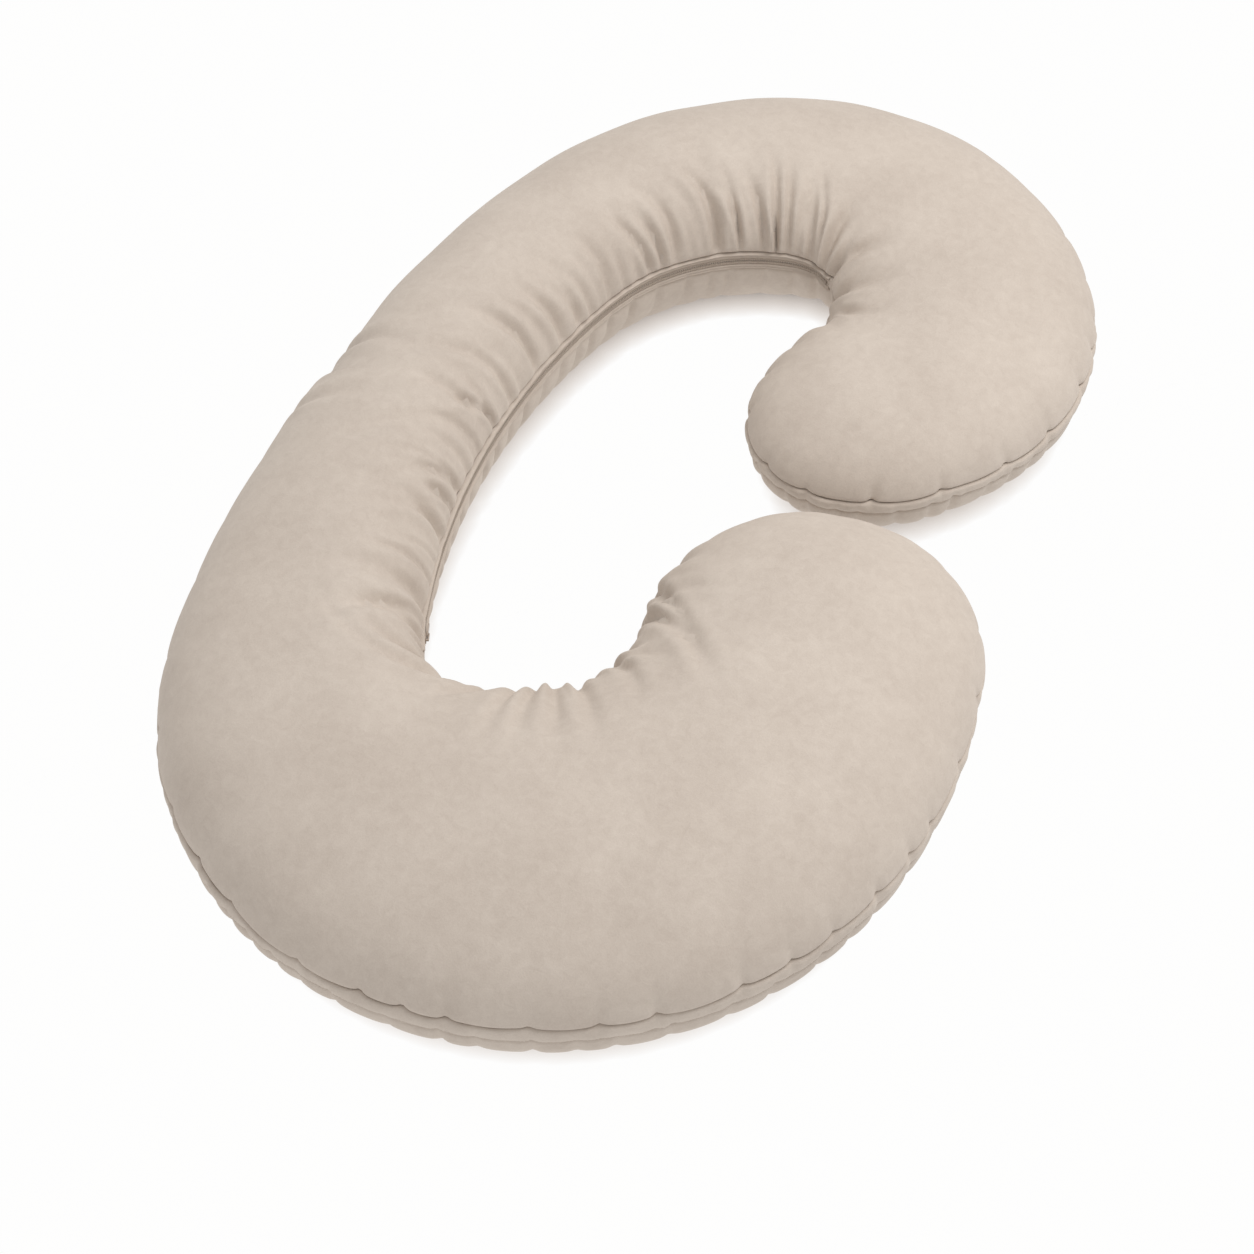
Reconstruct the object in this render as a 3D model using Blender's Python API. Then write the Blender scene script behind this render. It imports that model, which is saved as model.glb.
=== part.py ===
"""C-shaped full-body nursing pillow: a zipped fabric cover around a stuffed liner.

Frame: +Z up, Y along the spine towards the head lobe, X across, the C opening to +X.
The origin is on the floor, under the middle of the pillow's bounding box. Metres.

The plan is a centre line made of blended arcs, measured by s, the distance along it from
the middle of the spine: negative towards the foot lobe, positive towards the head lobe.
Every cloth skin is a nest of closed rings round that line, from the middle of the top or
bottom out to the side wall.
"""
from math import asin, cos, hypot, pi, radians, sin

import bmesh
import bpy
import numpy as np

# ---- plan of the pillow: inner radii of its arcs, and how far each runs ----
SPINE_INNER_RADIUS = 0.830
SPINE_LENGTH = 0.660            # along the centre line
FOOT_BEND_INNER_RADIUS = 0.040
FOOT_BEND_TURN = 138.1          # degrees
FOOT_ARM_INNER_RADIUS = 0.176   # its length follows from MOUTH_GAP
HEAD_BEND_INNER_RADIUS = 0.257
HEAD_BEND_TURN = 53.8           # degrees
HEAD_ARM_INNER_RADIUS = 0.033
HEAD_ARM_LENGTH = 0.630
ARC_BLEND = 0.080               # over which one arc eases into the next
MOUTH_GAP = 0.062               # least clear distance between the two lobes

# ---- half widths of the tube, and where they change ----
SPINE_HALF_WIDTH = 0.097
FOOT_HALF_WIDTH = 0.191
FOOT_TIP_HALF_WIDTH = 0.171
HEAD_HALF_WIDTH = 0.149
FOOT_WIDE_POINT = 0.587         # widest place, from the foot end
FOOT_TIP_POINT = 0.100
HEAD_TIP_HALF_WIDTH = 0.126
HEAD_WIDE_POINT = 0.278         # widest place, from the head end
HEAD_TIP_POINT = 0.080
INNER_FLARE_START = 0.050       # inside the spine's own ends
FOOT_OUTER_FLARE_START = 0.490
HEAD_OUTER_FLARE_START = 0.036
LOBE_ROUND = 0.170              # length of the rounded end of each lobe

# ---- cross-section ----
TUBE_HEIGHT = 0.200
ROUNDNESS = 2.2                 # exponent of the section's superellipse
BASE_DROOP = 1.12               # how far the underside would hang if the floor weren't there
HEAD_HEIGHT = 0.153             # of the head lobe, which is stuffed less
HEAD_THIN_START = 0.180         # where it starts to thin, past the head end of the spine
HEAD_THIN_END = 0.200           # where it is fully that thin, from the head end

# ---- cloth ----
COVER_CLOTH = 0.0015
LINER_CLOTH = 0.0010
LINER_EASE = 0.006              # slack between the cover's and the liner's side walls
CLEARANCE = 0.0003              # between pieces that touch
EDGE_BAND_HEIGHT = 0.023

# ---- zip ----
TAPE_THICKNESS = 0.0007
TAPE_GAP = 0.0016               # between the tapes, and between the coils, for the slider's post
COIL_WIDTH = 0.0022
COIL_THICKNESS = 0.0020
FACING_REACH = 0.0062           # cloth facing over each tape
FACING_THICKNESS = 0.0012
ZIP_HEAD_RUN = 0.450            # past the head end of the spine
ZIP_TAPE_END = 0.016            # bare tape past the stops
STOP_LENGTH = 0.004
STOP_THICKNESS = 0.0009

SLIDER_LENGTH = 0.012
SLIDER_WIDTH = 0.0088
SLIDER_PLATE = 0.0012
SLIDER_POST_LENGTH = 0.006
BAIL_LENGTH = 0.0095
BAIL_WIDTH = 0.0020
BAIL_THICKNESS = 0.0011
PULL_THICKNESS = 0.0010
PULL_PLAY = 0.00035             # round the pull's bar, inside the bail
PULL_WIDTH = 0.0070
PULL_TIP_WIDTH = 0.0052
PULL_LENGTH = 0.0180
PULL_EYE_LENGTH = 0.0048
PULL_EYE_WIDTH = 0.0034

# ---- fineness of the mesh ----
OUTER_STEP = 0.078              # between rings' points along the outer wall
LOBE_STEPS = 8                  # round each lobe's end
RING_COUNT = 5                  # from the middle line to the side seam
WALK_STEP = 0.004
ARM_STEP = 0.020
FOOT_ARM_LIMIT = 1.0

# ---- worked out from the above ----
MID_HEIGHT = TUBE_HEIGHT / 2
SPINE_RADIUS = SPINE_INNER_RADIUS + SPINE_HALF_WIDTH
HALF_SPINE = SPINE_LENGTH / 2
SLIDER_REST = -(HALF_SPINE - ARC_BLEND / 2 - SLIDER_LENGTH)
SLIDER_TRAVEL = -2 * SLIDER_REST
HEAD_ARCS = (
    (SPINE_RADIUS, HALF_SPINE),
    (HEAD_BEND_INNER_RADIUS + SPINE_HALF_WIDTH,
     (HEAD_BEND_INNER_RADIUS + SPINE_HALF_WIDTH) * radians(HEAD_BEND_TURN)),
    (HEAD_ARM_INNER_RADIUS + HEAD_HALF_WIDTH, HEAD_ARM_LENGTH),
)


def foot_arcs(arm_length):
    """Radius and length of each arc from the spine's middle to the foot end."""
    bend = FOOT_BEND_INNER_RADIUS + FOOT_HALF_WIDTH
    return (
        (SPINE_RADIUS, HALF_SPINE),
        (bend, bend * radians(FOOT_BEND_TURN)),
        (FOOT_ARM_INNER_RADIUS + FOOT_HALF_WIDTH, arm_length),
    )


def smoothstep(t):
    t = np.clip(t, 0, 1)
    return t * t * (3 - 2 * t)


def turned(arcs, distance):
    """Angle turned after a distance along the arcs, before their joints are eased."""
    total = np.minimum(distance, 0) / arcs[0][0]
    start = 0.0
    for radius, length in arcs[:-1]:
        total = total + np.clip(distance - start, 0, length) / radius
        start += length
    return total + np.maximum(distance - start, 0) / arcs[-1][0]


def walk(arcs, side):
    """Distances, headings and points from the spine's middle along one side (-1 foot, +1 head)."""
    length = sum(arc[1] for arc in arcs)
    s = np.linspace(0, length, int(length / WALK_STEP) + 1)
    step = s[1]
    bend = (turned(arcs, s + ARC_BLEND / 2) - turned(arcs, s - ARC_BLEND / 2)) / ARC_BLEND
    angle = np.concatenate([[0], np.cumsum((bend[1:] + bend[:-1]) / 2 * step)])
    heading = pi / 2 - side * angle
    move = side * np.stack([np.cos(heading), np.sin(heading)], 1)
    points = np.concatenate([[[0, 0]], np.cumsum((move[1:] + move[:-1]) / 2 * step, axis=0)])
    return s, heading, points


class Plan:
    """The centre line with its inner and outer half widths."""

    def __init__(self, foot_arm_length):
        foot_s, foot_heading, foot_points = walk(foot_arcs(foot_arm_length), -1)
        head_s, head_heading, head_points = walk(HEAD_ARCS, 1)
        self.s = np.concatenate([-foot_s[:0:-1], head_s])
        self.heading = np.concatenate([foot_heading[:0:-1], head_heading])
        self.points = np.concatenate([foot_points[:0:-1], head_points])
        self.shift = np.zeros(2)
        self.foot_end = self.s[0]
        self.head_end = self.s[-1]

    def at(self, s):
        """Point of the centre line and the unit vector across it, towards the outer wall."""
        point = np.array([np.interp(s, self.s, self.points[:, i]) for i in (0, 1)]) + self.shift
        heading = np.interp(s, self.s, self.heading)
        return point, np.array([-sin(heading), cos(heading)])

    def half_width(self, s, outer):
        """Distance from the centre line to the outer or the inner wall."""
        if s < 0:
            wide, tip, flare = FOOT_HALF_WIDTH, FOOT_TIP_HALF_WIDTH, FOOT_OUTER_FLARE_START
            wide_point, tip_point, end = FOOT_WIDE_POINT, FOOT_TIP_POINT, -self.foot_end
        else:
            wide, tip, flare = HEAD_HALF_WIDTH, HEAD_TIP_HALF_WIDTH, HEAD_OUTER_FLARE_START
            wide_point, tip_point, end = HEAD_WIDE_POINT, HEAD_TIP_POINT, self.head_end
        widest = end - wide_point
        if abs(s) > widest:
            return wide + (tip - wide) * smoothstep((abs(s) - widest) / (wide_point - tip_point))
        start = HALF_SPINE - (flare if outer else INNER_FLARE_START)
        return SPINE_HALF_WIDTH + (wide - SPINE_HALF_WIDTH) * smoothstep((abs(s) - start) / (widest - start))

    def fullness(self, s):
        """Height of the tube at s, as a share of TUBE_HEIGHT."""
        start = HALF_SPINE + HEAD_THIN_START
        thinning = smoothstep((s - start) / (self.head_end - HEAD_THIN_END - start))
        return 1 + (HEAD_HEIGHT / TUBE_HEIGHT - 1) * thinning

    def wall(self, s, outer):
        """Point of the side wall at mid height and the unit vector out of it."""
        point, across = self.at(s)
        out = across if outer else -across
        return point + out * self.half_width(s, outer), out

    def frame(self, s):
        """Point of the inner wall, the unit vector out of it, and the tube's fullness there."""
        return *self.wall(s, False), self.fullness(s)


def stations(plan):
    """Places along the centre line, even along the outer wall, between the two lobes' rounds."""
    s = np.linspace(plan.foot_end + LOBE_ROUND, plan.head_end - LOBE_ROUND, 400)
    walls = np.array([plan.wall(x, True)[0] for x in s])
    run = np.concatenate([[0], np.cumsum(np.linalg.norm(np.diff(walls, axis=0), axis=1))])
    count = int(round(run[-1] / OUTER_STEP))
    return np.interp(np.linspace(0, run[-1], count + 1), run, s)


def lobe_end(plan, s, side):
    """Spokes from a lobe's last station round its end, from the outer wall to the inner one."""
    point, across = plan.at(s)
    along = side * np.array([across[1], -across[0]])
    spokes = []
    for i in range(1, LOBE_STEPS):
        angle = pi * i / LOBE_STEPS
        outer = cos(angle) > 0
        reach = plan.half_width(s, outer) * cos(angle)
        spokes.append(across * reach + along * LOBE_ROUND * sin(angle))
    return [(point, spoke, plan.fullness(s)) for spoke in spokes]


def spokes_round(plan):
    """(centre, spoke, fullness) of each point of the outline, clockwise from the foot's outer wall."""
    places = stations(plan)
    outer, inner = ([(plan.at(s)[0], plan.wall(s, side)[0] - plan.at(s)[0], plan.fullness(s)) for s in places]
                    for side in (True, False))
    head = lobe_end(plan, places[-1], 1)
    foot = lobe_end(plan, places[0], -1)
    return outer + head + inner[::-1] + foot[::-1], len(places)


def mouth_gap(plan):
    """Clear distance between the foot lobe's end and the head lobe."""
    foot_s = plan.foot_end + LOBE_ROUND
    head_s = np.linspace(plan.head_end - 2 * LOBE_ROUND, plan.head_end - LOBE_ROUND, 12)
    foot = [point + spoke for point, spoke, _ in lobe_end(plan, foot_s, -1)]
    foot += [plan.wall(foot_s + LOBE_ROUND * t, False)[0] for t in (0, 0.5, 1)]
    head = [point + spoke for point, spoke, _ in lobe_end(plan, head_s[-1], 1)]
    head += [plan.wall(s, True)[0] for s in head_s]
    return min(hypot(*(a - b)) for a in foot for b in head)


def plan_with_mouth():
    """The plan whose foot arm is just long enough to leave MOUTH_GAP at the mouth."""
    arm = LOBE_ROUND
    while mouth_gap(Plan(arm + ARM_STEP)) > MOUTH_GAP and arm < FOOT_ARM_LIMIT:
        arm += ARM_STEP
    short, long = arm, arm + ARM_STEP
    for _ in range(12):
        middle = (short + long) / 2
        if mouth_gap(Plan(middle)) > MOUTH_GAP:
            short = middle
        else:
            long = middle
    return Plan(short)


def centred(plan, spokes):
    """Move the plan so that the origin is under the middle of its outline, and return spokes."""
    outline = np.array([centre + spoke for centre, spoke, _ in spokes])
    plan.shift = -(outline.min(axis=0) + outline.max(axis=0)) / 2
    return [(centre + plan.shift, spoke, fullness) for centre, spoke, fullness in spokes]


# ---- nested cloth skins ----

def ring_angles():
    """Angles of the section's rings, from near the middle line (90) down to the side seam."""
    return [radians(90 * (1 - i / RING_COUNT)) for i in range(1, RING_COUNT)]


def section(angle, inset_side, inset_flat, half_width):
    """Distance out from the centre line and height, at an angle of the section."""
    reach = (half_width - inset_side) * cos(angle) ** (2 / ROUNDNESS)
    rise = abs(sin(angle)) ** (2 / ROUNDNESS)
    if angle >= 0:
        return reach, MID_HEIGHT + (MID_HEIGHT - inset_flat) * rise
    drop = (MID_HEIGHT * BASE_DROOP - inset_flat) * rise
    return reach, max(inset_flat, MID_HEIGHT - drop)


def seam_angle(side, half_gap, inset_flat):
    """Angle at which the section is half_gap above (+1) or below (-1) mid height."""
    semi = (MID_HEIGHT if side > 0 else MID_HEIGHT * BASE_DROOP) - inset_flat
    return side * asin((half_gap / semi) ** (ROUNDNESS / 2))


def ring(spokes, angle, inset):
    """Points of one closed ring of a skin."""
    points = []
    for centre, spoke, fullness in spokes:
        half_width = hypot(*spoke)
        reach, height = section(angle, inset[0], inset[1], half_width)
        points.append((*(centre + spoke / half_width * reach), height * fullness))
    return points


def skin(spokes, count, rings, tops):
    """Closed mesh data: rings from one middle line to the other; tops are those lines' heights.

    Every facet's diagonal runs the same way out from the middle, so nested skins stay nested.
    """
    verts, faces = [], []
    total = len(spokes)
    head_steps = LOBE_STEPS - 1
    lines, starts = [], []
    for height in tops:
        lines.append(len(verts))
        verts += [(*spokes[i][0], height * spokes[i][2]) for i in range(count)]
    for points in rings:
        starts.append(len(verts))
        verts += points

    def line_index(line, i):
        """Point of a middle line that the ring's point i fans out from."""
        if i < count:
            return line + i
        if i < count + head_steps:
            return line + count - 1
        if i < 2 * count + head_steps:
            return line + 2 * count + head_steps - 1 - i
        return line

    def reach(start):
        return hypot(*(np.array(verts[start][:2]) - spokes[0][0]))

    for i in range(total):
        j = (i + 1) % total
        for line, start in ((lines[0], starts[0]), (lines[1], starts[-1])):
            a, b = line_index(line, i), line_index(line, j)
            faces.append([a, start + i, start + j])
            if a != b:
                faces.append([a, start + j, b])
        for first, second in zip(starts, starts[1:]):
            near, far = sorted((first, second), key=reach)
            faces.append([near + i, far + i, far + j])
            faces.append([near + i, far + j, near + j])
    return verts, faces


def add_object(name, verts, faces, material, smooth=True):
    """A mesh object with its faces turned outwards."""
    mesh = bpy.data.meshes.new(name)
    mesh.from_pydata(verts, [], faces)
    bm = bmesh.new()
    bm.from_mesh(mesh)
    bmesh.ops.recalc_face_normals(bm, faces=bm.faces)
    if bm.calc_volume(signed=True) < 0:
        bmesh.ops.reverse_faces(bm, faces=bm.faces)
    bm.to_mesh(mesh)
    bm.free()
    mesh.materials.append(material)
    if smooth:
        mesh.shade_smooth()
        mesh.set_sharp_from_angle(angle=radians(40))
    obj = bpy.data.objects.new(name, mesh)
    bpy.context.scene.collection.objects.link(obj)
    return obj


def add_panel(name, spokes, count, side, insets, half_gap, material):
    """Half a cover, top (side 1) or bottom (-1): a cloth skin between two insets."""
    rings = []
    for inset, inward in ((insets[0], False), (insets[1], True)):
        angles = [side * a for a in ring_angles()] + [seam_angle(side, half_gap, inset[1])]
        rings += [ring(spokes, a, inset) for a in (angles[::-1] if inward else angles)]
    tops = [section(side * pi / 2, *inset, 1.0)[1] for inset in insets]
    return add_object(name, *skin(spokes, count, rings, tops), material)


def add_filling(name, spokes, count, inset, material):
    """The whole stuffing as one solid."""
    angles = ring_angles() + [0.0] + [-a for a in ring_angles()[::-1]]
    rings = [ring(spokes, a, inset) for a in angles]
    tops = [section(side * pi / 2, *inset, 1.0)[1] for side in (1, -1)]
    return add_object(name, *skin(spokes, count, rings, tops), material)


# ---- strips that run along the side wall ----

def add_strip(name, frames, profile, material):
    """Sweep a closed profile of (out, up) points along wall frames of (point, out, fullness)."""
    verts, faces = [], []
    size = len(profile)
    for point, out, fullness in frames:
        verts += [(*(point + out * o), (MID_HEIGHT + u) * fullness) for o, u in profile]
    for i in range(len(frames) - 1):
        for j in range(size):
            k = (j + 1) % size
            faces.append([i * size + j, i * size + k, (i + 1) * size + k, (i + 1) * size + j])
    faces.append(list(range(size)))
    faces.append([(len(frames) - 1) * size + j for j in range(size)][::-1])
    return add_object(name, verts, faces, material)


def box_profile(out_low, out_high, up_low, up_high):
    return [(out_low, up_low), (out_high, up_low), (out_high, up_high), (out_low, up_high)]


def inner_wall_frames(plan, start, end, step=0.022):
    """Frames along the inner wall, no further apart than step, and closer round tight bends."""
    frames, s = [], start
    while s < end:
        frames.append(plan.frame(s))
        ahead = plan.frame(s + step)
        turn = abs(float(np.cross(frames[-1][1], ahead[1])))
        s += step / (1 + turn * 8)
    frames.append(plan.frame(end))
    return frames


# ---- small solids ----

def prism(name, outline, low, high, place, material, smooth=False):
    """Extrude a flat outline of (u, v) points from w=low to w=high; place(u, v, w) gives x, y, z."""
    size = len(outline)
    verts = [place(u, v, w) for w in (low, high) for u, v in outline]
    faces = [list(range(size))[::-1], list(range(size, 2 * size))]
    faces += [[i, (i + 1) % size, size + (i + 1) % size, size + i] for i in range(size)]
    return add_object(name, verts, faces, material, smooth)


def rectangle(u_low, u_high, v_low, v_high):
    return [(u_low, v_low), (u_high, v_low), (u_high, v_high), (u_low, v_high)]


def as_tool(obj, target, operation):
    """Join a solid to a target, or cut it out, with a Boolean modifier."""
    obj.hide_render = True
    obj.display_type = 'WIRE'
    obj.parent = target
    modifier = target.modifiers.new(obj.name, 'BOOLEAN')
    modifier.operation = operation
    modifier.solver = 'EXACT'
    modifier.object = obj


def add_empty(name, location, parent=None, turn=0.0):
    empty = bpy.data.objects.new(name, None)
    empty.parent = parent
    empty.location = location
    empty.rotation_euler = (0, 0, turn)
    bpy.context.scene.collection.objects.link(empty)
    return empty


# ---- the zip ----

COIL_FACE = CLEARANCE + COIL_THICKNESS
PLATE_FACE = COIL_FACE + CLEARANCE + SLIDER_PLATE       # outside of the slider's front plate
BAIL_CLEAR = PULL_THICKNESS + 2 * PULL_PLAY
WALL_RATE = SPINE_INNER_RADIUS / SPINE_RADIUS           # inner wall's length per unit of s
COIL_START = SLIDER_REST - SLIDER_LENGTH / 2 / WALL_RATE
STOP_START = COIL_START - (CLEARANCE + STOP_LENGTH) / WALL_RATE
ZIP_START = STOP_START - ZIP_TAPE_END / WALL_RATE
ZIP_END = HALF_SPINE + ZIP_HEAD_RUN
COIL_END = ZIP_END - ZIP_TAPE_END - STOP_LENGTH


def mirrored(profile):
    return [(out, -up) for out, up in profile]


def coil_profile():
    """Rounded section of one coil, above the middle of the zip."""
    low, high = TAPE_GAP / 2, TAPE_GAP / 2 + COIL_WIDTH
    chamfer = COIL_THICKNESS / 3
    return [
        (CLEARANCE, low), (COIL_FACE - chamfer, low), (COIL_FACE, low + chamfer),
        (COIL_FACE, high - chamfer), (COIL_FACE - chamfer, high), (CLEARANCE, high),
    ]


def add_zip_strips(plan, materials):
    """Tapes, coils and the cloth facings over the tapes' edges."""
    half = EDGE_BAND_HEIGHT / 2 - CLEARANCE
    tape = box_profile(-TAPE_THICKNESS, 0, TAPE_GAP / 2, half)
    facing = box_profile(CLEARANCE, CLEARANCE + FACING_THICKNESS, half - FACING_REACH, half)
    whole = inner_wall_frames(plan, ZIP_START, ZIP_END)
    engaged = inner_wall_frames(plan, COIL_START, COIL_END)
    for side, turn_over in (("upper", list), ("lower", mirrored)):
        add_strip(f"zip_{side}_tape", whole, turn_over(tape), materials["zip_tape"])
        add_strip(f"zip_{side}_facing", whole, turn_over(facing), materials["cover"])
        add_strip(f"zip_{side}_coil", engaged, turn_over(coil_profile()), materials["zip_coil"])


def add_zip_stops(plan, materials):
    """A stop on each tape at the closed end, and one across both at the far end."""
    width = TAPE_GAP / 2 + COIL_WIDTH + STOP_THICKNESS
    top = box_profile(CLEARANCE, COIL_FACE, TAPE_GAP / 2, width)
    bottom = box_profile(CLEARANCE, COIL_FACE, -width, width)
    closed = [plan.frame(s) for s in (STOP_START, STOP_START + STOP_LENGTH / WALL_RATE)]
    far = [plan.frame(s) for s in (COIL_END + CLEARANCE * 2, COIL_END + STOP_LENGTH)]
    add_strip("zip_upper_top_stop", closed, top, materials["zip_metal"])
    add_strip("zip_lower_top_stop", closed, mirrored(top), materials["zip_metal"])
    add_strip("zip_bottom_stop", far, bottom, materials["zip_metal"])


def shield(length, width):
    """Outline of a slider plate: full width at the foot end, narrower at the head end."""
    half, nose = width / 2, width / 2 * 0.72
    return [
        (-length / 2, -half * 0.8), (-length / 2 + half * 0.3, -half), (length * 0.12, -half),
        (length / 2 - half * 0.2, -nose), (length / 2, -nose * 0.7), (length / 2, nose * 0.7),
        (length / 2 - half * 0.2, nose), (length * 0.12, half), (-length / 2 + half * 0.3, half),
        (-length / 2, half * 0.8),
    ]


def add_slider(track, wall_point, turn, materials):
    """Slider with its two plates, post, flanges and bail; its x is out of the wall, y along it."""
    metal = materials["zip_metal"]
    overlap = SLIDER_PLATE / 4
    back_face = -TAPE_THICKNESS - CLEARANCE
    front_back = PLATE_FACE - SLIDER_PLATE

    def along_up(u, v, w):
        return w, u, v

    plate = shield(SLIDER_LENGTH, SLIDER_WIDTH)
    slider = prism("zip_slider", plate, front_back, PLATE_FACE, along_up, metal)
    post_end = -SLIDER_LENGTH / 2 + SLIDER_POST_LENGTH
    post_half = TAPE_GAP / 2 - CLEARANCE
    post = rectangle(-SLIDER_LENGTH / 2 + SLIDER_PLATE, post_end, -post_half, post_half)
    tools = [
        prism("slider_back_plate", plate, back_face - SLIDER_PLATE, back_face, along_up, metal),
        prism("slider_post", post, back_face - overlap, front_back + overlap, along_up, metal),
    ]
    inside = TAPE_GAP / 2 + COIL_WIDTH + CLEARANCE
    for side in (-1, 1):
        edges = sorted((side * inside, side * SLIDER_WIDTH / 2))
        flange = rectangle(-SLIDER_LENGTH / 3, SLIDER_LENGTH * 0.12, *edges)
        tools.append(prism(f"slider_flange_{side}", flange, CLEARANCE, front_back + overlap, along_up, metal))

    half, leg = BAIL_LENGTH / 2, BAIL_THICKNESS
    under, foot = PLATE_FACE + BAIL_CLEAR, PLATE_FACE - overlap
    top = under + BAIL_THICKNESS
    arch = [
        (-half, foot), (-half + leg, foot), (-half + leg, under), (half - leg, under),
        (half - leg, foot), (half, foot), (half, top - leg / 2), (half - leg / 2, top),
        (-half + leg / 2, top), (-half, top - leg / 2),
    ]

    def along_out(u, v, w):
        return v, u, w

    tools.append(prism("slider_bail", arch, -BAIL_WIDTH / 2, BAIL_WIDTH / 2, along_out, metal))
    for tool in tools:
        as_tool(tool, slider, 'UNION')
    slider.parent = track
    slider.location = wall_point
    slider.rotation_euler = (0, 0, turn)
    return slider


def add_pull(slider, materials):
    """Pull tab whose eye hangs in the bail; its origin is on the bar it swings on."""
    bar = PULL_THICKNESS / 2
    half, tip = PULL_WIDTH / 2, PULL_TIP_WIDTH / 2
    end = PULL_LENGTH - bar
    outline = [(-bar, -half), (end / 2, -half), (end - tip, -tip)]
    outline += [(end - tip + tip * sin(a), -tip * cos(a)) for a in np.linspace(pi / 8, pi * 7 / 8, 7)]
    outline += [(end - tip, tip), (end / 2, half), (-bar, half)]

    def along_up(u, v, w):
        return w, u, v

    pull = prism("zip_pull_tab", outline, -bar, bar, along_up, materials["zip_metal"])
    eye = rectangle(bar, bar + PULL_EYE_LENGTH, -PULL_EYE_WIDTH / 2, PULL_EYE_WIDTH / 2)
    as_tool(prism("pull_eye", eye, -2 * bar, 2 * bar, along_up, materials["zip_metal"]), pull, 'DIFFERENCE')
    pull.parent = slider
    pull.location = (PLATE_FACE + BAIL_CLEAR / 2, 0, 0)
    return pull


# ---- materials ----

def add_material(name, hex_colour, roughness, metallic=0.0):
    """Principled material from an sRGB hex colour."""
    def linear(value):
        return value / 12.92 if value <= 0.04045 else ((value + 0.055) / 1.055) ** 2.4

    material = bpy.data.materials.new(name)
    material.use_nodes = True
    shader = material.node_tree.nodes["Principled BSDF"]
    channels = [linear(int(hex_colour[i:i + 2], 16) / 255) for i in (0, 2, 4)]
    shader.inputs["Base Color"].default_value = (*channels, 1)
    shader.inputs["Roughness"].default_value = roughness
    shader.inputs["Metallic"].default_value = metallic
    material.diffuse_color = (*channels, 1)
    return material


def all_materials():
    return {
        "cover": add_material("brushed_cotton", "CDBFB2", 0.92),
        "zip_tape": add_material("woven_tape", "C6B7A9", 0.85),
        "zip_coil": add_material("nylon_coil", "BCAC9D", 0.45),
        "zip_metal": add_material("painted_zinc", "B9A999", 0.40, 0.6),
        "liner": add_material("liner_cloth", "F1EFEA", 0.90),
        "filling": add_material("polyester_fibre", "FAFAF7", 1.0),
    }


# ---- the pillow ----

def edge_band_frames(spokes, count, plan):
    """Frames round the wall, from the zip's head end the long way to its foot end."""
    places = list(stations(plan))
    frames = [(centre + spoke, spoke / hypot(*spoke), fullness) for centre, spoke, fullness in spokes]
    head_steps = LOBE_STEPS - 1
    outer, head_end = frames[:count], frames[count:count + head_steps]
    inner = frames[count + head_steps:2 * count + head_steps][::-1]
    foot_end = frames[2 * count + head_steps:][::-1]
    past_head = [f for s, f in zip(places, inner) if s > ZIP_END + WALK_STEP]
    past_foot = [f for s, f in zip(places, inner) if s < ZIP_START - WALK_STEP]
    start = plan.frame(ZIP_END + 2 * CLEARANCE)
    end = plan.frame(ZIP_START - 2 * CLEARANCE)
    return [start] + past_head + head_end[::-1] + outer[::-1] + foot_end + past_foot + [end]


def build():
    for obj in list(bpy.data.objects):
        bpy.data.objects.remove(obj)
    materials = all_materials()
    plan = plan_with_mouth()
    spokes, count = spokes_round(plan)
    spokes = centred(plan, spokes)

    cover = [(0, 0), (COVER_CLOTH, COVER_CLOTH)]
    liner_flat = COVER_CLOTH + CLEARANCE
    liner = [(COVER_CLOTH + LINER_EASE, liner_flat)]
    liner.append((liner[0][0] + LINER_CLOTH, liner_flat + LINER_CLOTH))
    filling = (liner[1][0] + CLEARANCE, liner[1][1] + CLEARANCE)

    seam = EDGE_BAND_HEIGHT / 2
    for name, side in (("top", 1), ("bottom", -1)):
        add_panel(f"cover_{name}_panel", spokes, count, side, cover, seam, materials["cover"])
        add_panel(f"liner_{name}_panel", spokes, count, side, liner, CLEARANCE, materials["liner"])
    add_filling("fibre_filling", spokes, count, filling, materials["filling"])
    band = box_profile(-COVER_CLOTH, 0, CLEARANCE - seam, seam - CLEARANCE)
    add_strip("cover_edge_band", edge_band_frames(spokes, count, plan), band, materials["cover"])

    add_zip_strips(plan, materials)
    add_zip_stops(plan, materials)
    centre = plan.at(0)[0] + np.array([SPINE_RADIUS, 0])
    track = add_empty("zip_track_centre", (*centre, MID_HEIGHT))
    point, out = plan.wall(SLIDER_REST, False)
    slider = add_slider(track, (*(point - centre), 0), float(np.arctan2(out[1], out[0])), materials)
    add_pull(slider, materials)


build()
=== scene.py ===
"""Looks of a C-shaped full-body nursing pillow: brushed-cotton cover, stuffed liner, coil zip.

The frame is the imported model's: +Z up, Y along the spine towards the head lobe, the C
opening to +X. Metres. The plan is the model's own: a centre line of blended arcs, measured
by s from the middle of the spine, negative towards the foot lobe, positive towards the head.

Each cloth skin is a grid: columns go round the pillow's outline, rings go from the seam to
the crown (top panel), across the edge band, or down to the middle of the base.
"""

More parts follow.
